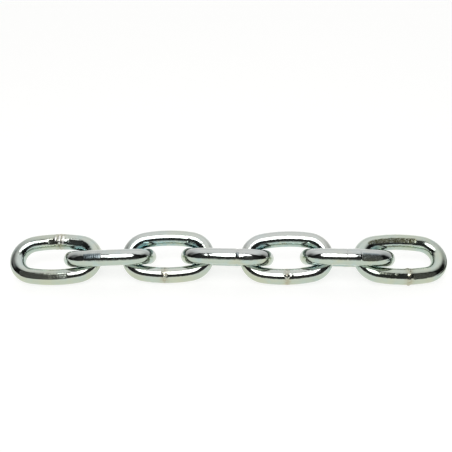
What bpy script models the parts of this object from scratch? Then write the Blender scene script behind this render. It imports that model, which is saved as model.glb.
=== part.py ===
"""Seven-link run of welded round steel chain, lying almost straight on a floor.

The chain runs along X, +Y points to its far side and +Z up. The origin is on the floor at the middle
of the chain's bounding box. Every link is the same closed oval of round wire, with a small swell where
the wire was butt-welded in one side bar. The links alternate in roll: an odd link rests on its near
bar and an even link on its far bar, and each hooks through the next.
"""
import math

import bpy
from mathutils import Euler, Matrix, Vector

WIRE = 0.0080               # wire diameter
INSIDE_LENGTH = 0.0313      # inside length of a link, which is also the chain's pitch
OUTSIDE_WIDTH = 0.0284      # outside width of a link at the middle of its side bars
BOW = 0.0009                # how far a side bar bulges past the end bends
WELD_SWELL = 0.00015        # extra wire radius at the butt weld
WELD_HALF = 0.0012          # half the length of the weld's full swell
WELD_FADE = 0.0010          # length over which the swell fades on each side

WIRE_SIDES = 16             # facets round the wire
END_SEGMENTS = 11           # straight segments in an end bend, odd so that one is square to the crown
BAR_STATIONS = (WELD_HALF, WELD_HALF + WELD_FADE, 0.0062)   # points along a bar, from its middle

HALF_LENGTH = (INSIDE_LENGTH + WIRE) / 2    # centreline half length
HALF_WIDTH = (OUTSIDE_WIDTH - WIRE) / 2     # centreline half width
END_RADIUS = HALF_WIDTH - BOW               # centreline radius of an end bend
END_CENTRE = HALF_LENGTH - END_RADIUS       # distance of an end bend's centre from the middle
BAR_DROP = (END_CENTRE ** 2 - BOW ** 2) / (2 * BOW)     # the bar arc's centre lies this far past the axis
BAR_RADIUS = HALF_WIDTH + BAR_DROP          # centreline radius of a side bar
TANGENT = math.atan2(END_CENTRE, BAR_DROP)  # where the bar's arc meets the end bend

FAR, NEAR = 1, -1
# How each link lies: middle in x and y (mm), roll, pitch and yaw (degrees), and the bar with the weld.
LAY = {
    "link_1": (-83.1, -1.2, 30.2, 0.1, 3.6, FAR),
    "link_2": (-55.4, 0.45, -32.4, -1.8, 2.8, NEAR),
    "link_3": (-25.7, 1.8, 35.4, 0.0, 2.5, NEAR),
    "link_4": (4.4, 2.1, -34.9, 0.0, -1.3, NEAR),
    "link_5": (34.4, 2.1, 35.8, -1.2, 2.4, NEAR),
    "link_6": (64.5, 2.95, -35.2, 1.2, 0.6, NEAR),
    "link_7": (90.97, 4.6, 25.65, 3.1, 6.4, NEAR),
}
END_LINKS = ("link_1", "link_7")
# Each hinge: child, parent, the side of the parent on which the child hangs, and how far the pivot lies
# from the parent's wire towards the centre of the child's end bend (0 to 1).
HINGES = (
    ("link_3", "link_4", -1, 0.0),
    ("link_2", "link_3", -1, 0.3),
    ("link_1", "link_2", -1, 0.5),
    ("link_5", "link_4", 1, 0.0),
    ("link_6", "link_5", 1, 0.0),
    ("link_7", "link_6", 1, 0.38),
)

ZINC_COLOUR = (0.74, 0.76, 0.75, 1.0)
ZINC_ROUGHNESS = 0.22


def clear_scene():
    """Remove every object that the file opened with."""
    for old in list(bpy.data.objects):
        bpy.data.objects.remove(old, do_unlink=True)


def zinc_plate(name):
    """Return a bright zinc-plated steel material."""
    material = bpy.data.materials.new(name)
    material.use_nodes = True
    shader = material.node_tree.nodes["Principled BSDF"]
    shader.inputs["Base Color"].default_value = ZINC_COLOUR
    shader.inputs["Metallic"].default_value = 1.0
    shader.inputs["Roughness"].default_value = ZINC_ROUGHNESS
    material.diffuse_color = ZINC_COLOUR
    return material


def bar_points(side, weld_side):
    """Return (x, y, thickening) along one side bar, from -X to +X, without its tangent points."""
    stations = [-s for s in reversed(BAR_STATIONS)] + list(BAR_STATIONS)
    points = []
    for x in stations:
        y = math.sqrt(BAR_RADIUS ** 2 - x ** 2) - BAR_DROP
        on_weld = side == weld_side and abs(x) <= WELD_HALF
        points.append((x, side * y, WELD_SWELL if on_weld else 0.0))
    return points


def bend_points(end):
    """Return (x, y, 0) round one end bend, from the far tangent point to the near one."""
    sweep = math.pi - 2 * TANGENT
    points = []
    for i in range(END_SEGMENTS + 1):
        angle = sweep / 2 - sweep * i / END_SEGMENTS
        points.append((end * (END_CENTRE + END_RADIUS * math.cos(angle)), END_RADIUS * math.sin(angle), 0.0))
    return points


def link_points(weld_side):
    """Return the closed centreline of a link, clockwise as seen from above."""
    near = bar_points(NEAR, weld_side)
    left = bend_points(-1)
    return bar_points(FAR, weld_side) + bend_points(1) + near[::-1] + left[::-1]


def facet_turn(name, roll):
    """Return how far the wire's facets are turned about its centreline.

    The end links have a facet square to the pull of a hook. The others have one that faces straight
    down from the bar that they rest on.
    """
    step = 2 * math.pi / WIRE_SIDES
    if name in END_LINKS:
        return step / 2
    return step / 2 + abs(roll) % step


def add_link(name, collection):
    """Add one link as a bevelled closed curve, laid as in LAY and lowered onto the floor."""
    x, y, roll, pitch, yaw, weld_side = LAY[name]
    curve = bpy.data.curves.new(name, "CURVE")
    curve.dimensions = "3D"
    curve.twist_mode = "Z_UP"
    curve.bevel_depth = WIRE / 2
    curve.bevel_resolution = (WIRE_SIDES - 4) // 2
    points = link_points(weld_side)
    spline = curve.splines.new("POLY")
    spline.points.add(len(points) - 1)
    turn = facet_turn(name, math.radians(roll))
    for point, (px, py, thickening) in zip(spline.points, points):
        point.co = (px, py, 0.0, 1.0)
        point.radius = 1.0 + thickening / (WIRE / 2)
        point.tilt = turn
    spline.use_cyclic_u = True
    spline.use_smooth = True
    link = bpy.data.objects.new(name, curve)
    collection.objects.link(link)
    link.rotation_euler = Euler([math.radians(a) for a in (roll, pitch, yaw)])
    link.location = (x / 1000, y / 1000, 0.0)
    curve.materials.append(zinc_plate(name + "_zinc"))
    bpy.context.view_layer.update()
    link.location.z = -lowest_point(link)
    return link


def lowest_point(obj):
    """Return the least world height of an object's evaluated mesh."""
    evaluated = obj.evaluated_get(bpy.context.evaluated_depsgraph_get())
    mesh = evaluated.to_mesh()
    lowest = min((obj.matrix_world @ vertex.co).z for vertex in mesh.vertices)
    evaluated.to_mesh_clear()
    return lowest


def keep_place(child, parent):
    """Parent one object to another without moving it."""
    child.parent = parent
    child.matrix_parent_inverse = parent.matrix_world.inverted()


def add_hinge(child, parent, side, share, collection):
    """Add the empty that the child link swings about.

    It stands in the parent's crown, at the wire's centre or a share of the way to the centre of the
    child's end bend. Its Z axis is the normal of the child's plane, so the child's round end turns
    in place round the parent's wire.
    """
    crown = parent.matrix_world @ Vector((side * HALF_LENGTH, 0.0, 0.0))
    bend = child.matrix_world @ Vector((-side * END_CENTRE, 0.0, 0.0))
    hinge = bpy.data.objects.new("hinge_of_" + child.name, None)
    hinge.empty_display_size = WIRE
    hinge.matrix_world = Matrix.Translation(crown.lerp(bend, share)) @ child.rotation_euler.to_matrix().to_4x4()
    collection.objects.link(hinge)
    bpy.context.view_layer.update()
    keep_place(hinge, parent)
    keep_place(child, hinge)


def centre_on_floor(links):
    """Move the links together so that the middle of their bounding box is over the origin."""
    corners = []
    for link in links.values():
        evaluated = link.evaluated_get(bpy.context.evaluated_depsgraph_get())
        mesh = evaluated.to_mesh()
        corners += [link.matrix_world @ vertex.co for vertex in mesh.vertices]
        evaluated.to_mesh_clear()
    middle_x = (min(c.x for c in corners) + max(c.x for c in corners)) / 2
    middle_y = (min(c.y for c in corners) + max(c.y for c in corners)) / 2
    for link in links.values():
        link.location.x -= middle_x
        link.location.y -= middle_y


def main():
    """Build the whole run of chain."""
    clear_scene()
    collection = bpy.data.collections.new("welded_chain_run")
    bpy.context.scene.collection.children.link(collection)
    links = {name: add_link(name, collection) for name in LAY}
    centre_on_floor(links)
    bpy.context.view_layer.update()
    for child, parent, side, share in HINGES:
        add_hinge(links[child], links[parent], side, share, collection)
    bpy.context.view_layer.update()


if __name__ == "__main__":
    main()
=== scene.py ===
"""Dressed model of a short run of bright zinc-plated welded chain on a pale floor.

Each link is one numpy surface swept round a closed oval centreline, with its own butt weld, worked
bands and clamp flats. Lengths are millimetres until they are handed to Blender, which takes metres.
The chain runs along X, +Y points to its far side and +Z up.
"""

import logging
import math
from dataclasses import dataclass
from enum import Enum
from typing import Callable

import bpy
import numpy as np
from mathutils import Matrix, Vector


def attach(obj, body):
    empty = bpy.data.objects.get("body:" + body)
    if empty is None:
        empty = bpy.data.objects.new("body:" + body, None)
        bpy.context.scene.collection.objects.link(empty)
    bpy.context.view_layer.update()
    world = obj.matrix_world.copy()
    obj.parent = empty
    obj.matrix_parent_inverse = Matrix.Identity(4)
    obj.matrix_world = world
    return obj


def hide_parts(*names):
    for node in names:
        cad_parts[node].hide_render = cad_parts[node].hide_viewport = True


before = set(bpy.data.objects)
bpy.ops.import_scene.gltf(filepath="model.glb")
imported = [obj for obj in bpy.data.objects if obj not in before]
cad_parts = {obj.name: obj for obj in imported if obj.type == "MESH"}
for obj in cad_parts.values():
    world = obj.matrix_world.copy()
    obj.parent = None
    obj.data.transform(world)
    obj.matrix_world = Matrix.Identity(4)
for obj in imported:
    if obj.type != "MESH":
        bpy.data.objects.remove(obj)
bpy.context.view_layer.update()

log = logging.getLogger("chain")

MM = 0.001                   # one millimetre in Blender's metres
IMAGE_PIXELS = 452           # the picture is this many pixels wide and high
TWO_PI = 2.0 * math.pi

WIRE_RADIUS = 4.0
INSIDE_LENGTH = 31.3         # inside length of a link, which is also the chain's pitch
OUTSIDE_WIDTH = 28.4         # outside width of a link at its side bars' middle
BOW = 0.9                    # how far a side bar bulges past the end bends

RINGS = 520                  # grid steps round a link
SPOKES = 112                 # grid steps round the wire
END_SHARE = 0.6              # a CAD vertex this share of the way to a crown is on an end bend
FINE_STEPS = 4001            # places along a centreline at which the crowding is worked out
CROWDING = 2.5               # how much denser the rings stand at the weld
CROWDING_REACH = 3.0         # distance from the weld at which they have spread out again

FAR_OFF = 99.0               # a distance that is beyond every weld, band and flat
BAR_ENDS = (8.5, 13.5)       # a side bar turns into a bend between these distances from its middle
SIDE_EDGES = (2.0, 8.0)      # a link's near or far side begins this far from its axis
FLOOR_FADE = (-0.97, -0.85)  # relief fades out where the surface faces down this much
BEND_SQUASH = 0.05           # how much thinner the wire is in a bend, in the link's plane
PITTING = 0.004              # height of the fine unevenness all over the wire
LEAN_ANGLE = math.radians(32.0)  # height, round the wire, at which an out-of-round bar tilts most
HIGHLIGHT_SIDE = np.array([0.0, -0.68, 0.73])  # direction of the wire's side where the lamp's highlight falls; bead crests get a painted highlight and bands a painted dark slate there

BEND_INSIDE = (-0.1, 0.9)    # the painted teal shade fades in round a bend's inside, by -cos v
UNDERSIDE = (0.0, 0.75)      # the greener tint of the lower side fades out, by how far a point faces up

# Rings of a beaded flash: distance from the weld and share of the seam's height.
BEAD_RINGS = ((-2.4, 0.8), (-0.3, 1.0), (1.5, 0.8), (2.9, 0.5))
BEAD_REST = 0.3              # share of a beaded flash that is left away from the highlight side
BEAD_SIDE = (0.70, 0.90)     # cosines to the highlight side between which a beaded flash gets its full height and painted highlight
BEAD_CREST = (0.35, 0.70)    # shares of the seam's height between which a ring gets the painted highlight
HEAT_REACH = 3.2             # reach of the weld's brown, in seam widths
LEAST_HEAT = 1.5             # its least reach
GROOVE_HEAT = 0.15           # share of the brown that is left beside a trimmed weld
BAND_EDGE = 0.35             # length over which a band fades out
BAND_SIDE = (0.90, 0.97)     # cosines to the highlight side between which a band gets its painted dark slate and its roughness
HATCH_PITCH = 0.55           # distance between file marks
HATCH_BEAT = 1.7             # distance between the second set of marks, in pitches of the first
HATCH_SLANT = 0.5            # how far a file mark shifts along the bar in one radian of turn
FLAT_EDGE = 1.2              # length over which a flat fades out
FLAT_REACH = 0.3             # least cosine to a flat's direction that its plane is worked out for
FLAT_FULL_CUT = 0.06             # depth of cut at which a flat gets its full roughness, grain and painted dark olive
FAR_BAR_SHADE = 0.75          # strength of the painted teal shade inside a far bar, against a bend's
WARM_REACH = 8.0             # reach of the straw tint along a link


class Bar(Enum):
    """The two side bars of a link, by the sign of their local y."""

    NEAR = -1
    FAR = 1


class SeamStyle(Enum):
    """How a butt weld was left."""

    BEADED = "beaded"           # heavy flash in several rings
    WRINKLED = "wrinkled"       # thin seam with a few lumps
    SPATTERED = "spattered"     # thin seam with drops of spatter
    SCORCHED = "scorched"       # brown burr
    GROOVED = "grooved"         # trimmed flush, a groove left


# Drops of weld metal: distance from the weld, angle round the wire (radians) and radius.
DROPS = {
    SeamStyle.WRINKLED: ((-0.9, 1.52, 0.60), (0.9, 1.28, 0.70), (0.1, 1.05, 0.55), (1.2, 0.85, 0.45)),
    SeamStyle.SPATTERED: ((0.0, 1.30, 1.30), (2.6, 1.42, 0.50), (-1.4, 1.50, 0.45), (0.1, 0.92, 0.60)),
}
DROP_HEIGHT = 0.45           # height of a drop, in radii

Masks = dict[str, np.ndarray]  # values from 0 to 1 on the grid's points, by name
Pair = tuple[float, float]


@dataclass(frozen=True)
class Seam:
    """A butt weld.

    Args:
        bar: the side bar that holds it.
        style: how it was left.
        along: its distance from the bar's middle, towards +X.
        height: how far its flash stands proud, or how deep its groove is.
        width: half the breadth of the flash.
    """

    bar: Bar
    style: SeamStyle
    along: float
    height: float
    width: float


@dataclass(frozen=True)
class Band:
    """A stretch of a side bar that was hammered or filed.

    Args:
        bar: the side bar.
        start: where it begins, from the bar's middle towards +X.
        end: where it ends.
        proud: how far the stretch stands above the wire.
        rough: how rough it is, and how much painted dark slate it gets where the highlight falls, from
            0 to 1.
        hatch: height of the fine file marks across it.
        rise: how much prouder it gets per millimetre towards +X.
    """

    bar: Bar
    start: float
    end: float
    proud: float
    rough: float
    hatch: float = 0.0
    rise: float = 0.0


@dataclass(frozen=True)
class Flat:
    """A shallow flat left by a clamp jaw.

    Args:
        bar: the side bar.
        start: where it begins, from the bar's middle towards +X.
        end: where it ends.
        facing: the elevation, in degrees, of the direction it faces on the near side.
        depth: how far it is sunk into the wire.
        grain: how coarse its surface is, and how much painted dark olive it gets, from 0 to 1.
    """

    bar: Bar
    start: float
    end: float
    facing: float
    depth: float
    grain: float


def smoothstep(low: float, high: float, x: np.ndarray) -> np.ndarray:
    """Return 0 below low, 1 above high and a smooth ramp between."""
    t = np.clip((x - low) / (high - low), 0.0, 1.0)
    return t * t * (3.0 - 2.0 * t)


def window(start: float, end: float, soft: float, x: np.ndarray) -> np.ndarray:
    """Return 1 between start and end, falling to 0 over soft on each side."""
    return smoothstep(start - soft, start, x) * (1.0 - smoothstep(end, end + soft, x))


def ripple(
    rng: np.random.Generator, turn_a: np.ndarray, turn_b: np.ndarray,
    waves_a: tuple[int, int], waves_b: tuple[int, int], count: int,
) -> np.ndarray:
    """Return a smooth random field that closes on itself both ways.

    The field is a sum of cosines cos(m a + n b + phase) with whole m and n, scaled to unit spread.

    Args:
        rng: the random generator.
        turn_a: the first angle, 0 to 2 pi round the link.
        turn_b: the second angle, 0 to 2 pi round the wire.
        waves_a: the least and most whole waves round the link.
        waves_b: the least and most whole waves round the wire.
        count: how many cosines are added.

    Returns:
        An array of the shape that turn_a and turn_b broadcast to.
    """
    total = np.zeros(np.broadcast(turn_a, turn_b).shape)
    for _ in range(count):
        m = rng.integers(waves_a[0], waves_a[1] + 1)
        n = rng.integers(waves_b[0], waves_b[1] + 1) * rng.choice((-1, 1))
        total += np.cos(m * turn_a + n * turn_b + rng.uniform(0.0, TWO_PI))
    return total / math.sqrt(count / 2.0)


@dataclass(frozen=True)
class Oval:
    """The closed centreline of a link: two end bends joined by two gently bowed side bars.

    Args:
        half_length: from the middle to a crown.
        half_width: from the middle to a side bar's middle.
        bow: how far a side bar bulges past the end bends.
    """

    half_length: float = INSIDE_LENGTH / 2 + WIRE_RADIUS
    half_width: float = OUTSIDE_WIDTH / 2 - WIRE_RADIUS
    bow: float = BOW

    @property
    def end_radius(self) -> float:
        """Centreline radius of an end bend."""
        return self.half_width - self.bow

    @property
    def end_centre(self) -> float:
        """Distance from the middle to the centre of an end bend."""
        return self.half_length - self.end_radius

    @property
    def bar_drop(self) -> float:
        """Distance from the link's axis to the centre of a side bar's arc."""
        return (self.end_centre ** 2 - self.bow ** 2) / (2.0 * self.bow)

    @property
    def bar_radius(self) -> float:
        """Centreline radius of a side bar."""
        return self.half_width + self.bar_drop

    @property
    def tangent_angle(self) -> float:
        """Half the angle of a side bar's arc."""
        return math.atan2(self.end_centre, self.bar_drop)

    @property
    def length(self) -> float:
        """Length of the whole centreline."""
        bars = 4.0 * self.tangent_angle * self.bar_radius
        bends = (TWO_PI - 4.0 * self.tangent_angle) * self.end_radius
        return bars + bends

    def trace(self, distance: np.ndarray) -> tuple[np.ndarray, np.ndarray]:
        """Walk the centreline from the middle of the far bar, clockwise seen from above.

        One quarter is worked out and mirrored: a point is the bar arc's (R sin t, R cos t - drop) up to
        the tangent angle, and then the bend's centre plus its radius times (sin t, cos t).

        Args:
            distance: distances along the centreline.

        Returns:
            The points and the outward normals, both of shape (n, 2).
        """
        quarter = self.length / 4.0
        lap = np.mod(distance, self.length)
        number = np.minimum((lap / quarter).astype(int), 3)
        rest = lap - number * quarter
        rest = np.where(number % 2 == 0, rest, quarter - rest)
        bar_part = self.tangent_angle * self.bar_radius
        on_bar = rest < bar_part
        bend_angle = self.tangent_angle + (rest - bar_part) / self.end_radius
        angle = np.where(on_bar, rest / self.bar_radius, bend_angle)
        radius = np.where(on_bar, self.bar_radius, self.end_radius)
        centre_x = np.where(on_bar, 0.0, self.end_centre)
        centre_y = np.where(on_bar, -self.bar_drop, 0.0)
        normal = np.stack([np.sin(angle), np.cos(angle)], axis=1)
        points = np.stack([centre_x, centre_y], axis=1) + radius[:, None] * normal
        x_sign = np.where(number < 2, 1.0, -1.0)
        y_sign = np.where(number % 3 == 0, 1.0, -1.0)
        flip = np.stack([x_sign, y_sign], axis=1)
        return points * flip, normal * flip


@dataclass(frozen=True)
class Lie:
    """Where a link lies: its middle and its three axes, read from its CAD node.

    Args:
        middle: the link's middle.
        axes: a 3 x 3 array whose rows are the link's long, cross and plane-normal axes.
    """

    middle: np.ndarray
    axes: np.ndarray

    @classmethod
    def of_node(cls, name: str) -> "Lie":
        """Read the middle and axes of a node from the spread of its vertices.

        The long axis has the largest spread and the plane's normal the least. Signs are chosen so
        that the long axis runs towards +X and the normal upwards. The middle is taken from the end
        bends alone, because one side bar has the weld's swell.

        Args:
            name: the node's name.

        Returns:
            The link's lie.
        """
        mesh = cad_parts[name].data
        points = np.empty(len(mesh.vertices) * 3)
        mesh.vertices.foreach_get("co", points)
        points = np.unique(points.reshape(-1, 3).round(7), axis=0) / MM
        middle = (points.min(0) + points.max(0)) / 2.0
        _, _, axes = np.linalg.svd(points - points.mean(0), full_matrices=False)
        long_axis = axes[0] * np.sign(axes[0][0])
        normal = axes[2] * np.sign(axes[2][2])
        axes = np.stack([long_axis, np.cross(normal, long_axis), normal])
        local = (points - middle) @ axes.T
        ends = np.abs(local[:, 0]) > local[:, 0].max() * END_SHARE
        offset = (local[ends].min(0) + local[ends].max(0)) / 2.0
        return cls(middle + offset @ axes, axes)

    def place(self, local: np.ndarray) -> np.ndarray:
        """Return local points as points in the row frame."""
        return self.middle + local @ self.axes


@dataclass(frozen=True)
class Grid:
    """The grid of rings and spokes that a link's surface stands on.

    Args:
        centre: each ring's place on the centreline, of shape (RINGS, 2).
        outward: each ring's outward direction in the link's plane, of shape (RINGS, 2).
        lap: each ring's angle round the link, of shape (RINGS, 1).
        turn: each spoke's angle round the wire, of shape (1, SPOKES).
        facing: each spoke's direction in the row frame, of shape (RINGS, SPOKES, 3).
    """

    centre: np.ndarray
    outward: np.ndarray
    lap: np.ndarray
    turn: np.ndarray
    facing: np.ndarray

    @classmethod
    def along_oval(cls, oval: Oval, distance: np.ndarray, lie: Lie) -> "Grid":
        """Lay the grid along a centreline.

        Args:
            oval: the centreline.
            distance: the rings' distances along it.
            lie: where the link lies.

        Returns:
            The grid. A spoke points in the direction cos v outward + sin v normal.
        """
        centre, outward = oval.trace(distance)
        lap = (TWO_PI * distance / oval.length)[:, None]
        turn = (TWO_PI * np.arange(SPOKES) / SPOKES)[None, :]
        ring_out = np.concatenate([outward, np.zeros((len(outward), 1))], axis=1) @ lie.axes
        facing = np.cos(turn)[..., None] * ring_out[:, None, :] + np.sin(turn)[..., None] * lie.axes[2]
        return cls(centre, outward, lap, turn, facing)

    def on_bar(self) -> np.ndarray:
        """Return 1 for rings on a side bar and 0 for rings in a bend."""
        return 1.0 - smoothstep(*BAR_ENDS, np.abs(self.centre[:, 0]))[:, None]

    def side(self, bar: Bar) -> np.ndarray:
        """Return 1 for rings on one side of the link's axis and 0 for rings on the other."""
        return smoothstep(*SIDE_EDGES, bar.value * self.centre[:, 1])[:, None]

    def along(self, bar: Bar) -> np.ndarray:
        """Return each ring's distance along a bar from its middle, or FAR_OFF on the other bar."""
        return np.where(self.centre[:, 1] * bar.value > 0.0, self.centre[:, 0], FAR_OFF)[:, None]

    def toward_highlight(self, low: float, high: float) -> np.ndarray:
        """Return a ramp from 0 to 1 as the cosine to the side where the lamp's highlight falls goes
        from low to high.
        """
        return smoothstep(low, high, self.facing @ HIGHLIGHT_SIDE)

    def clear_of_floor(self) -> np.ndarray:
        """Return 0 where the surface faces the floor and 1 elsewhere."""
        return smoothstep(*FLOOR_FADE, self.facing[..., 2])


@dataclass
class Link:
    """One welded link.

    Args:
        name: the CAD node it stands for.
        seed: seed of its own small unevenness.
        seam: its butt weld.
        wave: height of the hand-made waviness of its side bars.
        cast: the least share of the greener lower-side tint, over the whole link, from 0 to 1.
        lean: how far the near bar's wire is out of round; above 0 it leans forward.
        film_and_shade: strength of the painted teal shade and reflection on the inside of the left and
            of the right half.
        warm: strength and place, along the link, of the straw tint of the weld's heat.
        bands: hammered or filed stretches.
        flats: clamp flats.
        oval: its centreline.
    """

    name: str
    seed: int
    seam: Seam
    wave: float
    cast: float = 0.0
    lean: float = 0.0
    film_and_shade: Pair = (0.7, 0.7)
    warm: Pair = (0.0, 0.0)
    bands: tuple[Band, ...] = ()
    flats: tuple[Flat, ...] = ()
    oval: Oval = Oval()

    def stations(self) -> np.ndarray:
        """Return the distances of the rings along the centreline, closer together at the weld."""
        fine = np.linspace(0.0, self.oval.length, FINE_STEPS)
        centre, _ = self.oval.trace(fine)
        weld_y = self.seam.bar.value * self.oval.half_width
        gap = np.hypot(centre[:, 0] - self.seam.along, centre[:, 1] - weld_y)
        crowding = 1.0 + CROWDING * np.exp(-((gap / CROWDING_REACH) ** 2))
        reach = np.concatenate([[0.0], np.cumsum((crowding[1:] + crowding[:-1]) / 2.0)])
        return np.interp(np.arange(RINGS) / RINGS * reach[-1], reach, fine)

    def bare_radius(self, grid: Grid, rng: np.random.Generator) -> np.ndarray:
        """Return the wire's radius without its weld and marks.

        A bend is thinner by BEND_SQUASH cos^2 v. The bars are wavy, and a near bar that is out of
        round adds lean times the sine of twice the angle from LEAN_ANGLE.

        Args:
            grid: the link's grid.
            rng: the random generator.

        Returns:
            An array of shape (RINGS, SPOKES).
        """
        on_bar = grid.on_bar()
        radius = np.full((RINGS, SPOKES), WIRE_RADIUS)
        radius -= BEND_SQUASH * (1.0 - on_bar) * np.cos(grid.turn) ** 2
        radius += self.wave * on_bar * ripple(rng, grid.lap, grid.turn, (9, 26), (1, 3), 14)
        radius += PITTING * ripple(rng, grid.lap, grid.turn, (20, 60), (3, 9), 24)
        height_angle = np.arctan2(grid.facing[..., 2], -grid.facing[..., 1])
        radius += self.lean * grid.side(Bar.NEAR) * np.sin(2.0 * (height_angle - LEAN_ANGLE))
        return radius

    def seam_swell(self, along: np.ndarray, turn: np.ndarray, rng: np.random.Generator) -> np.ndarray:
        """Return how far the weld's flash stands proud.

        The flash is a bell exp(-(x / width)^2) across the seam, broken up by ripples round the wire.
        A beaded weld has four flat-topped bells, exp(-(x / width)^4). A wrinkled or spattered one adds
        rounded drops. A grooved one is a V-shaped cut, 1 - |x| / width. The shares of the ripples are
        given.

        Args:
            along: distance along the weld's bar, of shape (RINGS, 1).
            turn: angle round the wire, of shape (1, SPOKES).
            rng: the random generator.

        Returns:
            An array of shape (RINGS, SPOKES).
        """
        seam = self.seam
        x = along - seam.along
        lumps = ripple(rng, 0.0 * x, turn, (0, 0), (3, 11), 9)
        drift = 0.12 * ripple(rng, 0.0 * x, turn, (0, 0), (1, 5), 6)
        if seam.style is SeamStyle.BEADED:
            rings = np.zeros(np.broadcast(x, turn).shape)
            for offset, share in BEAD_RINGS:
                own = ripple(rng, 0.0 * x, turn, (0, 0), (2, 7), 8)
                bell = np.exp(-(((x - offset - 0.6 * drift) / seam.width) ** 4))
                rings += share * bell * (0.85 + 0.25 * own)
            return seam.height * rings
        if seam.style is SeamStyle.GROOVED:
            cut = np.clip(1.0 - np.abs(x - 0.5 * drift) / seam.width, 0.0, None)
            return -seam.height * cut * (1.0 + 0.2 * lumps)
        bell = np.exp(-(((x - drift) / seam.width) ** 2)) * (0.8 + 0.35 * lumps)
        collar = np.exp(-((x / (2.6 * seam.width)) ** 2))
        swell = seam.height * (bell + 0.35 * collar)
        for drop_x, drop_turn, drop_radius in DROPS.get(seam.style, ()):
            around = WIRE_RADIUS * (np.mod(turn - drop_turn + math.pi, TWO_PI) - math.pi)
            dome = 1.0 - ((x - drop_x) ** 2 + around ** 2) / drop_radius ** 2
            swell = swell + DROP_HEIGHT * drop_radius * np.sqrt(np.clip(dome, 0.0, None))
        return swell

    def weld_marks(self, grid: Grid, rng: np.random.Generator) -> tuple[np.ndarray, Masks]:
        """Work out the weld's relief and looks.

        Args:
            grid: the link's grid.
            rng: the random generator.

        Returns:
            How far the weld stands proud, and two masks: "weld", a bell for its brown, and "bead", the
            crests of a beaded flash on the highlight side, which get a painted highlight.
        """
        seam = self.seam
        along = grid.along(seam.bar)
        toward_highlight = grid.toward_highlight(*BEAD_SIDE)
        swell = self.seam_swell(along, grid.turn, rng) * grid.clear_of_floor()
        heat_reach = max(HEAT_REACH * seam.width, LEAST_HEAT)
        weld = np.exp(-(((along - seam.along) / heat_reach) ** 2)) + 0.0 * grid.turn
        bead = np.zeros_like(swell)
        if seam.style is SeamStyle.BEADED:
            swell *= BEAD_REST + (1.0 - BEAD_REST) * toward_highlight
            # painted highlight: the crests on the highlight side are painted pale in the material
            bead = smoothstep(*BEAD_CREST, swell / seam.height) * toward_highlight
            weld *= 1.0 - 0.9 * bead
        if seam.style is SeamStyle.GROOVED:
            weld *= GROOVE_HEAT
        return swell, {"weld": weld, "bead": bead}

    def raise_bands(self, grid: Grid, radius: np.ndarray) -> np.ndarray:
        """Raise the hammered and filed stretches.

        File marks are the sum of two sine waves along the bar, slanted round the wire.

        Args:
            grid: the link's grid.
            radius: the wire's radius, which is changed in place.

        Returns:
            The bands' mask.
        """
        mask = np.zeros_like(radius)
        clear = grid.clear_of_floor()
        toward_highlight = grid.toward_highlight(*BAND_SIDE)
        for band in self.bands:
            along = grid.along(band.bar)
            inside = window(band.start, band.end, BAND_EDGE, along) + 0.0 * grid.turn
            waves = TWO_PI * (along + HATCH_SLANT * grid.turn) / HATCH_PITCH
            marks = np.sin(waves) + np.sin(waves / HATCH_BEAT)
            proud = band.proud + band.rise * (along - band.start) + band.hatch * marks
            radius += proud * inside * clear
            # painted reflection: a band's slate goes only where the highlight falls, standing in for a
            # dimmed highlight
            mask = np.maximum(mask, band.rough * inside * toward_highlight)
        return mask

    def cut_flats(self, grid: Grid, radius: np.ndarray) -> np.ndarray:
        """Cut the clamp flats.

        A flat is a plane across the wire at (wire radius - depth) from the centreline, so the radius
        is at most that distance over the cosine between the spoke and the flat's direction.

        Args:
            grid: the link's grid.
            radius: the wire's radius, which is changed in place.

        Returns:
            The flats' mask.
        """
        mask = np.zeros_like(radius)
        for flat in self.flats:
            inside = window(flat.start, flat.end, FLAT_EDGE, grid.along(flat.bar))
            tilt = math.radians(flat.facing)
            towards = grid.facing @ np.array([0.0, -math.cos(tilt), math.sin(tilt)])
            chord = (WIRE_RADIUS - flat.depth * inside) / np.maximum(towards, FLAT_REACH)
            cut = np.clip(radius - chord, 0.0, None) * inside
            # painted reflection: the mask also paints a flat dark olive, for the dim room that it
            # reflects
            mask = np.maximum(mask, flat.grain * smoothstep(0.0, FLAT_FULL_CUT, cut))
            radius -= cut
        return mask

    def film_and_shade_masks(self, grid: Grid) -> Masks:
        """Work out where the plate's tints show, and where teal shade is painted inside the bends.

        Args:
            grid: the link's grid.

        Returns:
            Three masks: "crown", the painted teal shade and reflection inside the bends and the far
            bar; "under", the sides that face down, which get a greener tint; and "warm", a bell along
            the link.
        """
        plain = grid.on_bar() * (1.0 - FAR_BAR_SHADE * grid.side(Bar.FAR))
        half_shade = np.where(grid.centre[:, 0] < 0.0, self.film_and_shade[0], self.film_and_shade[1])[:, None]
        # painted shade: teal inside the bends and the far bar, where the next link shades and reflects
        crown = (1.0 - plain) * smoothstep(*BEND_INSIDE, -np.cos(grid.turn)) * half_shade
        under = np.maximum(1.0 - smoothstep(*UNDERSIDE, grid.facing[..., 2]), self.cast)
        strength, place = self.warm
        warm = strength * np.exp(-(((grid.centre[:, 0] - place) / WARM_REACH) ** 2))[:, None]
        return {"crown": crown, "under": under, "warm": warm + 0.0 * grid.turn}

    def surface(self, lie: Lie) -> tuple[np.ndarray, Masks]:
        """Work out the link's surface and its masks.

        A point is centre + r (cos v outward + sin v normal), where v goes round the wire and r is the
        wire's radius changed by the weld, bands, flats and waviness.

        Args:
            lie: where the link lies.

        Returns:
            Vertices in metres, of shape (RINGS * SPOKES, 3), and masks of RINGS * SPOKES values.
        """
        rng = np.random.default_rng(self.seed)
        grid = Grid.along_oval(self.oval, self.stations(), lie)
        radius = self.bare_radius(grid, rng)
        swell, masks = self.weld_marks(grid, rng)
        radius += swell
        masks["band"] = self.raise_bands(grid, radius)
        masks["flat"] = self.cut_flats(grid, radius)
        masks.update(self.film_and_shade_masks(grid))

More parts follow.
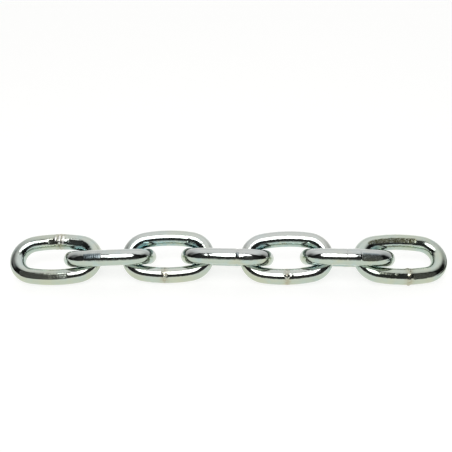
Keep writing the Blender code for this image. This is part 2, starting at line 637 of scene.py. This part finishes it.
        in_plane = (radius * np.cos(grid.turn))[..., None] * grid.outward[:, None, :]
        local = np.empty((RINGS, SPOKES, 3))
        local[..., :2] = grid.centre[:, None, :] + in_plane
        local[..., 2] = radius * np.sin(grid.turn)
        return lie.place(local.reshape(-1, 3)) * MM, {key: mask.ravel() for key, mask in masks.items()}

    def faces(self) -> np.ndarray:
        """Return the grid's quads, closed both ways and facing outwards."""
        ring, spoke = np.meshgrid(np.arange(RINGS), np.arange(SPOKES), indexing="ij")
        next_ring = (ring + 1) % RINGS
        next_spoke = (spoke + 1) % SPOKES
        corners = (ring, spoke), (ring, next_spoke), (next_ring, next_spoke), (next_ring, spoke)
        return np.stack([a * SPOKES + b for a, b in corners], axis=-1).reshape(-1, 4)

    def build(self, material: bpy.types.Material) -> bpy.types.Object:
        """Make the link's object, ride it on its body and put it in place of its CAD node.

        Args:
            material: the plate on it.

        Returns:
            The finished object.
        """
        vertices, masks = self.surface(Lie.of_node(self.name))
        quads = self.faces()
        mesh = bpy.data.meshes.new(self.name + "_wire")
        mesh.vertices.add(len(vertices))
        mesh.vertices.foreach_set("co", vertices.ravel())
        mesh.loops.add(quads.size)
        mesh.loops.foreach_set("vertex_index", quads.ravel())
        mesh.polygons.add(len(quads))
        mesh.polygons.foreach_set("loop_start", np.arange(len(quads)) * 4)
        for key, values in masks.items():
            attribute = mesh.attributes.new(key, "FLOAT", "POINT")
            attribute.data.foreach_set("value", values)
        mesh.materials.append(material)
        mesh.update(calc_edges=True)
        mesh.validate()
        mesh.shade_smooth()
        piece = bpy.data.objects.new(self.name + "_wire", mesh)
        bpy.context.scene.collection.objects.link(piece)
        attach(piece, self.name)
        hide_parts(self.name)
        log.info("%s: %d quads", piece.name, len(quads))
        return piece


class Signal:
    """A node socket that takes part in Python arithmetic."""

    def __init__(self, bench: "NodeBench", socket: bpy.types.NodeSocket) -> None:
        """Wrap an output socket of the bench's tree."""
        self.bench = bench
        self.socket = socket

    def __add__(self, other: "Signal | float") -> "Signal":
        """Return self + other."""
        return self.bench.math("ADD", self, other)

    __radd__ = __add__

    def __mul__(self, other: "Signal | float") -> "Signal":
        """Return self * other."""
        return self.bench.math("MULTIPLY", self, other)

    __rmul__ = __mul__

    def __sub__(self, other: "Signal | float") -> "Signal":
        """Return self - other."""
        return self.bench.math("SUBTRACT", self, other)

    def __rsub__(self, other: float) -> "Signal":
        """Return other - self."""
        return self.bench.math("SUBTRACT", other, self)

    def __truediv__(self, other: "Signal | float") -> "Signal":
        """Return self / other."""
        return self.bench.math("DIVIDE", self, other)

    def __neg__(self) -> "Signal":
        """Return -self."""
        return self * -1.0

    def __abs__(self) -> "Signal":
        """Return self without its sign."""
        return self.bench.math("ABSOLUTE", self, 0.0)

    def root(self) -> "Signal":
        """Return the square root of self."""
        return self.bench.math("SQRT", self, 0.0)

    def most(self, other: "Signal | float") -> "Signal":
        """Return the larger of self and other."""
        return self.bench.math("MAXIMUM", self, other)

    def step(self, low: float, high: float) -> "Signal":
        """Return a smooth ramp from 0 at low to 1 at high."""
        inputs = {"Value": self, "From Min": low, "From Max": high}
        return self.bench.node("ShaderNodeMapRange", {"interpolation_type": "SMOOTHSTEP"}, inputs)


class NodeBench:
    """Builds a node tree from one kind of call."""

    def __init__(self, tree: bpy.types.NodeTree) -> None:
        """Empty the tree and keep it."""
        self.tree = tree
        tree.nodes.clear()

    def node(self, kind: str, settings: dict, inputs: dict, output: int | str = 0) -> Signal:
        """Add a node, set it up, feed its sockets and return one output.

        Args:
            kind: the node's type name.
            settings: attribute names and values.
            inputs: socket names or numbers, with a Signal or a plain value for each.
            output: the output socket that is returned.

        Returns:
            The output, or an empty Signal for a node that has none.
        """
        made = self.tree.nodes.new(kind)
        for key, value in settings.items():
            setattr(made, key, value)
        for key, value in inputs.items():
            if isinstance(value, Signal):
                self.tree.links.new(value.socket, made.inputs[key])
            else:
                made.inputs[key].default_value = value
        return Signal(self, made.outputs[output]) if made.outputs else Signal(self, None)

    def math(self, operation: str, first: "Signal | float", second: "Signal | float") -> Signal:
        """Return a Math node's result."""
        return self.node("ShaderNodeMath", {"operation": operation}, {0: first, 1: second})

    def blend(self, factor: Signal, first: "Signal | tuple", second: "Signal | tuple") -> Signal:
        """Return a mix of two colours."""
        return self.node("ShaderNodeMix", {"data_type": "RGBA"}, {0: factor, 6: first, 7: second}, 2)

    def principled(self, inputs: dict) -> None:
        """End a material's tree with a Principled shader that has these inputs."""
        shader = self.node("ShaderNodeBsdfPrincipled", {}, inputs, "BSDF")
        self.node("ShaderNodeOutputMaterial", {}, {"Surface": shader})

    def mask(self, name: str) -> Signal:
        """Return a float attribute of the mesh."""
        return self.node("ShaderNodeAttribute", {"attribute_name": name}, {}, "Fac")

    def parts(self, vector: Signal, count: int) -> tuple[Signal, ...]:
        """Return the first few of a vector's x, y and z."""
        split = self.node("ShaderNodeSeparateXYZ", {}, {"Vector": vector}).socket.node
        return tuple(Signal(self, split.outputs[i]) for i in range(count))

    def noise(self, place: Signal, per_mm: float, detail: float) -> Signal:
        """Return a noise texture with a given number of features per millimetre."""
        inputs = {"Vector": place, "Scale": per_mm / MM, "Detail": detail}
        return self.node("ShaderNodeTexNoise", {}, inputs)


Colour = tuple[float, float, float, float]


@dataclass(frozen=True)
class ZincPlate:
    """Bright zinc plate on drawn wire, with the thin coloured film of its passivation. Its colours also
    hold painted light: teal shade inside the bends, highlights on bead crests and dark reflections on
    filed bands and clamp flats.

    Args:
        bright: the plain plate's colour.
        green: the greener tint of the wire's lower side.
        straw: the film's thicker patches.
        aqua: its thinner patches.
        teal: the painted teal shade and reflection inside the crowns and the far bar.
        slate: the dark cast painted on a filed band where the highlight falls, for its dimmed
            reflection.
        crest_glint: the painted highlight on the crests of a beaded weld.
        olive: the dark cast painted on the clamp flats, for the dim room that they reflect.
        scorched: the brown of the weld's heat.
        polish: roughness of the plain plate.
        fogging: how much rougher its dull patches are.
        band_rough: how much rougher a worked band is.
        weld_rough: how much rougher the weld is.
        flat_rough: how much rougher a clamp flat is.
        bead_rough: how much rougher a bead's crest is.
        grain: height of the fine grain.
        band_grain: height of a worked band's coarse grain, in heights of the fine grain.
        weld_grain: the same for the weld.
        flat_grain: the same for a clamp flat.
        clouds: features per millimetre and detail of the straw patches' noise.
        patches: the same for the aqua patches.
        fog: the same for the dull patches.
        flecks: the same for the olive flecks.
        specks: the same for the fine grain.
        coarse: the same for the coarse grain.
    """

    bright: Colour = (0.56, 0.58, 0.57, 1.0)
    green: Colour = (0.49, 0.57, 0.48, 1.0)
    straw: Colour = (0.56, 0.57, 0.40, 1.0)
    aqua: Colour = (0.43, 0.57, 0.56, 1.0)
    teal: Colour = (0.24, 0.43, 0.48, 1.0)
    slate: Colour = (0.14, 0.19, 0.22, 1.0)
    crest_glint: Colour = (0.95, 0.95, 0.91, 1.0)
    olive: Colour = (0.12, 0.12, 0.05, 1.0)
    scorched: Colour = (0.38, 0.30, 0.18, 1.0)
    polish: float = 0.085
    fogging: float = 0.05
    band_rough: float = 0.18
    weld_rough: float = 0.10
    flat_rough: float = 0.12
    bead_rough: float = 0.26
    grain: float = 0.012
    band_grain: float = 3.0
    weld_grain: float = 5.0
    flat_grain: float = 13.0
    clouds: Pair = (0.085, 2.0)
    patches: Pair = (0.21, 2.0)
    fog: Pair = (0.5, 3.0)
    flecks: Pair = (2.0, 2.0)
    specks: Pair = (2.6, 3.0)
    coarse: Pair = (1.1, 3.0)

    def build(self, name: str) -> bpy.types.Material:
        """Make the material.

        A step's two numbers are the noise levels between which a patch fades in, and a last factor is
        how well it covers.

        Args:
            name: the material's name.

        Returns:
            A metal that follows the mesh's masks.
        """
        material = bpy.data.materials.new(name)
        material.use_nodes = True
        bench = NodeBench(material.node_tree)
        place = bench.node("ShaderNodeTexCoord", {}, {}, "Object")
        names = ("weld", "bead", "band", "flat", "crown", "under", "warm")
        weld, bead, band, flat, crown, under, warm = (bench.mask(key) for key in names)
        noises = (self.clouds, self.patches, self.fog, self.flecks, self.specks, self.coarse)
        clouds, patches, fog, flecks, specks, coarse = (bench.noise(place, *noise) for noise in noises)

        film_and_shade = 0.15 + under * 0.40
        straw_share = (clouds.step(0.38, 0.68) * film_and_shade).most(warm * (0.3 + under))
        colour = bench.blend(under * 0.9, self.bright, self.green)
        colour = bench.blend(patches.step(0.45, 0.70) * film_and_shade, colour, self.aqua)
        colour = bench.blend(straw_share, colour, self.straw)
        # painted shade and reflection: teal inside the crowns
        colour = bench.blend(crown * fog.step(0.20, 0.60) * 0.85, colour, self.teal)
        # painted reflection: dark slate on the filed bands
        colour = bench.blend(band * 0.8, colour, self.slate)
        # painted reflection: dark olive on the clamp flats
        colour = bench.blend(flat * flecks.step(0.34, 0.56), colour, self.olive)
        colour = bench.blend(weld * specks.step(0.35, 0.6) * 0.7, colour, self.scorched)
        # painted highlight: the bead crests are painted near white
        colour = bench.blend(bead * 0.9, colour, self.crest_glint)

        rough = self.polish + fog.step(0.4, 0.8) * self.fogging
        rough = rough + band * self.band_rough + weld * self.weld_rough
        rough = rough + flat * self.flat_rough + bead * self.bead_rough
        relief = band * self.band_grain + flat * self.flat_grain + weld * self.weld_grain
        bump_inputs = {"Height": specks + relief * coarse, "Distance": self.grain * MM, "Strength": 1.0}
        bump = bench.node("ShaderNodeBump", {}, bump_inputs, "Normal")
        metal = 1.0 - flat * 0.35
        bench.principled({"Base Color": colour, "Metallic": metal, "Roughness": rough, "Normal": bump})
        return material


@dataclass
class Chain:
    """The run of links.

    Args:
        links: the links, from the left end to the right.
        finish: the plate on them.
    """

    links: tuple[Link, ...]
    finish: ZincPlate = ZincPlate()

    def build(self) -> None:
        """Build and dress every link."""
        for link in self.links:
            link.build(self.finish.build(link.name + "_plate"))


def square(name: str, half: float, height: float) -> bpy.types.Mesh:
    """Return the mesh of a level square over the origin, from half its side and its height."""
    corners = ((-half, -half), (half, -half), (half, half), (-half, half))
    mesh = bpy.data.meshes.new(name)
    mesh.from_pydata([(x * MM, y * MM, height * MM) for x, y in corners], [], [(0, 1, 2, 3)])
    return mesh


@dataclass(frozen=True)
class Floor:
    """A large pale floor.

    Args:
        half: half its side.
        grey: how much light it scatters.
        glow: its own brightness, which keeps it nearly white.
    """

    half: float = 2500.0
    grey: float = 0.28
    glow: float = 0.80

    def build(self) -> None:
        """Lay the floor under the links."""
        mesh = square("floor", self.half, 0.0)
        material = bpy.data.materials.new("floor_paint")
        material.use_nodes = True
        shader = material.node_tree.nodes["Principled BSDF"]
        shader.inputs["Base Color"].default_value = (self.grey, self.grey, self.grey, 1.0)
        shader.inputs["Roughness"].default_value = 0.6
        shader.inputs["Specular IOR Level"].default_value = 0.3
        shader.inputs["Emission Color"].default_value = (1.0, 1.0, 0.99, 1.0)
        shader.inputs["Emission Strength"].default_value = self.glow
        mesh.materials.append(material)
        floor = bpy.data.objects.new("floor", mesh)
        bpy.context.scene.collection.objects.link(floor)


def hang_sheet(name: str, reach: float, height: float, dress: Callable[[Signal, Signal], dict]) -> None:
    """Hang a level square sheet that is seen only in the metal.

    Args:
        name: the sheet's name.
        reach: half its side.
        height: its height over the floor.
        dress: gives the shader's inputs from the x and y of a point on the sheet.
    """
    mesh = square(name, reach, height)
    material = bpy.data.materials.new(name)
    material.use_nodes = True
    bench = NodeBench(material.node_tree)
    place = bench.node("ShaderNodeTexCoord", {}, {}, "Object")
    x, y = (part / MM for part in bench.parts(place, 2))
    bench.principled(dress(x, y))
    mesh.materials.append(material)
    sheet = bpy.data.objects.new(name, mesh)
    sheet.visible_camera = False
    sheet.visible_diffuse = False
    sheet.visible_shadow = False
    bpy.context.scene.collection.objects.link(sheet)


@dataclass(frozen=True)
class BlackCards:
    """Two black cards on the floor, in front of the chain and on its right.

    A pair holds the two places between which an edge fades.

    Args:
        left: x of the front card's left edge.
        right: x of its right edge.
        ahead: distance in front of the origin at which it begins.
        inner: x of the left edge of the card on the right.
        near: y of that card's near edge.
        far: y of its far edge.
        cover: how black the front card is.
        reach: half the side of the sheet that holds both cards.
    """

    left: Pair = (-110.0, -86.0)
    right: Pair = (107.0, 127.0)
    ahead: Pair = (65.0, 140.0)
    inner: Pair = (122.0, 130.0)
    near: Pair = (-40.0, -10.0)
    far: Pair = (65.0, 85.0)
    cover: float = 0.85
    reach: float = 420.0

    def dress(self, x: Signal, y: Signal) -> dict:
        """Return shader inputs for a black that is opaque on a card and clear elsewhere.

        Args:
            x: distance to the right of the origin.
            y: distance behind the origin.

        Returns:
            The inputs by name.
        """
        front = x.step(*self.left) * (1.0 - x.step(*self.right)) * (-y).step(*self.ahead)
        beside = x.step(*self.inner) * (y.step(*self.near) * (1.0 - y.step(*self.far)))
        opaque = (front * self.cover).most(beside)
        return {"Base Color": (0.02, 0.02, 0.015, 1.0), "Roughness": 0.8, "Alpha": opaque}

    def build(self) -> None:
        """Lay the cards just over the floor."""
        hang_sheet("black_cards", self.reach, 0.1, self.dress)


@dataclass(frozen=True)
class WhiteCloth:
    """A lit white cloth over the chain and behind it, fading out on both sides.

    Args:
        height: its height over the floor.
        middle: how far to the right its middle lies.
        aside: how far to each side it begins to fade, and where it ends.
        near: y at which it begins, and at which it is fully lit.
        far: y at which it begins to fade, and at which it ends.
        glow: its brightness.
    """

    height: float = 250.0
    middle: float = 25.0
    aside: Pair = (70.0, 380.0)
    near: Pair = (-70.0, -25.0)
    far: Pair = (150.0, 400.0)
    glow: float = 1.02

    def dress(self, x: Signal, y: Signal) -> dict:
        """Return shader inputs for a glow that is opaque on the lit part and clear elsewhere.

        Args:
            x: distance to the right of the origin.
            y: distance behind the origin.

        Returns:
            The inputs by name.
        """
        across = 1.0 - abs(x - self.middle).step(*self.aside)
        opaque = across * y.step(*self.near) * (1.0 - y.step(*self.far))
        return {
            "Base Color": (0.0, 0.0, 0.0, 1.0), "Specular IOR Level": 0.0,
            "Emission Color": (1.0, 1.0, 1.0, 1.0), "Emission Strength": self.glow, "Alpha": opaque,
        }

    def build(self) -> None:
        """Hang the cloth."""
        hang_sheet("white_cloth", self.aside[1] + self.middle, self.height, self.dress)


@dataclass(frozen=True)
class SoftLamp:
    """A round soft light in front of the chain and over it.

    Args:
        away: distance from the origin to its middle.
        up: its height over the floor, in degrees, as seen from the origin.
        left: how far its middle lies to the left of the origin.
        size: its diameter.
        watts: its power.
    """

    away: float = 750.0
    up: float = 57.7
    left: float = 26.0
    size: float = 560.0
    watts: float = 3.0

    def build(self) -> None:
        """Hang the lamp, aimed at the chain."""
        data = bpy.data.lights.new("soft_light", "AREA")
        data.shape = "DISK"
        data.size = self.size * MM
        data.energy = self.watts
        lamp = bpy.data.objects.new("soft_light", data)
        rise = math.radians(self.up)
        towards = Vector((0.0, -math.cos(rise), math.sin(rise)))
        place = (towards * self.away - Vector((self.left, 0.0, 0.0))) * MM
        turn = towards.to_track_quat("Z", "Y").to_matrix().to_4x4()
        lamp.matrix_world = Matrix.Translation(place) @ turn
        bpy.context.scene.collection.objects.link(lamp)


@dataclass(frozen=True)
class Surroundings:
    """A pale wall behind the chain, and a dark room on the camera's side.

    Args:
        wall: brightness of the whole wall.
        wall_middle: how much brighter the wall is straight behind the chain.
        horizon: how much brighter it is near the floor.
        left: brightness of the glow on the left.
        room: least brightness of the room.
        room_front: how much brighter the room is behind the camera.
        backdrop: brightness that the camera itself sees.
    """

    wall: float = 0.53
    wall_middle: float = 0.35
    horizon: float = 0.30
    left: float = 0.20
    room: float = 0.008
    room_front: float = 0.028
    backdrop: float = 0.95

    def build(self) -> None:
        """Paint the world by direction.

        Seen from above, ahead is the cosine to +Y. A step's two numbers are where a glow fades in.
        """
        world = bpy.data.worlds.new("studio")
        bpy.context.scene.world = world
        world.use_nodes = True
        bench = NodeBench(world.node_tree)
        x, y, z = bench.parts(bench.node("ShaderNodeTexCoord", {}, {}, "Generated"), 3)
        level = (x * x + y * y).most(0.000001).root()
        ahead = y / level
        wall = ahead.step(0.05, 0.45) * self.wall + ahead.step(0.35, 1.0) * self.wall_middle
        horizon = ahead.step(0.80, 1.0) * (1.0 - z.step(0.0, 0.45)) * self.horizon
        left = (-(x / level)).step(0.92, 1.0) * z.step(0.25, 0.55) * self.left
        room = self.room + (-ahead).step(0.3, 0.95) * self.room_front + left
        value = (wall + horizon).most(room)
        camera_ray = bench.node("ShaderNodeLightPath", {}, {}, "Is Camera Ray")
        strength = value * (1.0 - camera_ray) + camera_ray * self.backdrop
        inputs = {"Color": (1.0, 1.0, 1.0, 1.0), "Strength": strength}
        shade = bench.node("ShaderNodeBackground", {}, inputs)
        bench.node("ShaderNodeOutputWorld", {}, {"Surface": shade})


@dataclass(frozen=True)
class Viewpoint:
    """The camera, on a sphere round the point in the middle of the picture.

    Args:
        target: the point in the middle of the picture.
        elevation: the camera's height over the target, in degrees.
        azimuth: how far the camera looks to the left of +Y, in degrees.
        roll: how far the picture is turned, in degrees.
        distance: from the camera to the target.
        focal_pixels: the focal length in pixels of the picture.
    """

    target: tuple[float, float, float] = (0.53, -1.48, 28.84)
    elevation: float = 29.39
    azimuth: float = 4.84
    roll: float = 1.74
    distance: float = 319.3
    focal_pixels: float = 651.7

    def build(self) -> None:
        """Place the camera and make it the scene's."""
        up_angle, side_angle = math.radians(self.elevation), math.radians(self.azimuth)
        forward = Vector((
            -math.sin(side_angle) * math.cos(up_angle),
            math.cos(side_angle) * math.cos(up_angle),
            -math.sin(up_angle),
        ))
        right = Vector((math.cos(side_angle), math.sin(side_angle), 0.0))
        up = right.cross(forward)
        level = Matrix((right, up, -forward)).transposed().to_4x4()
        data = bpy.data.cameras.new("camera")
        data.sensor_width = 36.0
        data.lens = self.focal_pixels * data.sensor_width / IMAGE_PIXELS
        data.clip_start = 0.01
        data.clip_end = 20.0
        camera = bpy.data.objects.new("camera", data)
        place = (Vector(self.target) - forward * self.distance) * MM
        turn = Matrix.Rotation(math.radians(-self.roll), 4, "Z")
        camera.matrix_world = Matrix.Translation(place) @ level @ turn
        bpy.context.scene.collection.objects.link(camera)
        bpy.context.scene.camera = camera


@dataclass(frozen=True)
class Studio:
    """Everything round the chain.

    Args:
        floor: the floor.
        cards: the black cards on it.
        cloth: the white cloth overhead.
        lamp: the soft light.
        surroundings: the wall and the room.
        viewpoint: the camera.
    """

    floor: Floor = Floor()
    cards: BlackCards = BlackCards()
    cloth: WhiteCloth = WhiteCloth()
    lamp: SoftLamp = SoftLamp()
    surroundings: Surroundings = Surroundings()
    viewpoint: Viewpoint = Viewpoint()

    def build(self) -> None:
        """Set up the whole studio."""
        for part in (self.floor, self.cards, self.cloth, self.lamp, self.surroundings, self.viewpoint):
            part.build()
            log.info("%s", part)
        bpy.context.scene.view_settings.view_transform = "Standard"


def the_chain() -> Chain:
    """Return the run as it was welded, each link with its own marks."""
    near, far = Bar.NEAR, Bar.FAR
    return Chain((
        Link(
            "link_1", 11, Seam(far, SeamStyle.BEADED, along=1.7, height=0.50, width=0.72),
            wave=0.006, cast=0.40, lean=0.12, film_and_shade=(0.3, 0.6), warm=(0.45, -2.0),
            flats=(
                Flat(far, -4.3, -1.9, facing=33.0, depth=0.26, grain=0.08),
                Flat(far, 6.2, 13.5, facing=34.0, depth=0.28, grain=0.08),
                Flat(near, -15.0, 7.0, facing=35.5, depth=0.24, grain=0.30),
            ),
        ),
        Link(
            "link_2", 12, Seam(near, SeamStyle.GROOVED, along=-1.6, height=0.08, width=0.25),
            wave=0.020, cast=0.10, lean=-0.08,
            bands=(Band(near, -9.7, -1.8, proud=0.05, rough=1.0, hatch=0.010),),
        ),
        Link(
            "link_3", 13, Seam(near, SeamStyle.WRINKLED, along=-1.0, height=0.035, width=0.60),
            wave=0.008, cast=0.20, lean=0.12, film_and_shade=(1.0, 0.8), warm=(0.45, 7.0),
            flats=(Flat(far, 10.8, 11.4, facing=20.0, depth=0.22, grain=0.05),),
        ),
        Link(
            "link_4", 14, Seam(near, SeamStyle.GROOVED, along=5.8, height=0.28, width=0.80),
            wave=0.022, lean=-0.13,
            bands=(
                Band(near, 5.4, 6.3, proud=0.0, rough=0.9),
                Band(near, 7.0, 12.9, proud=0.05, rough=0.08),
            ),
            flats=(Flat(near, 9.5, 13.5, facing=32.0, depth=0.13, grain=0.1),),
        ),
        Link(
            "link_5", 15, Seam(near, SeamStyle.SPATTERED, along=-0.3, height=0.035, width=0.40),
            wave=0.008, cast=0.05, warm=(0.2, 2.0),
        ),
        Link(
            "link_6", 16, Seam(near, SeamStyle.GROOVED, along=-1.1, height=0.10, width=0.35),
            wave=0.020, cast=0.05, lean=-0.12,
            bands=(
                Band(near, -1.1, 4.6, proud=0.02, rough=0.08, rise=0.036),
                Band(near, 5.6, 15.0, proud=0.0, rough=0.9),
            ),
            flats=(Flat(near, 6.0, 17.0, facing=32.5, depth=0.42, grain=0.55),),
        ),
        Link(
            "link_7", 17, Seam(near, SeamStyle.SCORCHED, along=2.0, height=0.26, width=0.65),
            wave=0.010, cast=0.60, film_and_shade=(0.3, 0.25), warm=(0.35, 6.0),
            flats=(
                Flat(near, 4.2, 15.0, facing=30.0, depth=0.30, grain=0.4),
                Flat(far, -16.0, 8.4, facing=46.0, depth=0.26, grain=1.0),
                Flat(near, -13.0, -4.0, facing=48.0, depth=0.05, grain=0.8),
            ),
        ),
    ))


def main() -> None:
    """Build the studio and the chain."""
    logging.basicConfig(level=logging.INFO, format="%(name)s: %(message)s")
    Studio().build()
    the_chain().build()


if __name__ == "__main__":
    main()
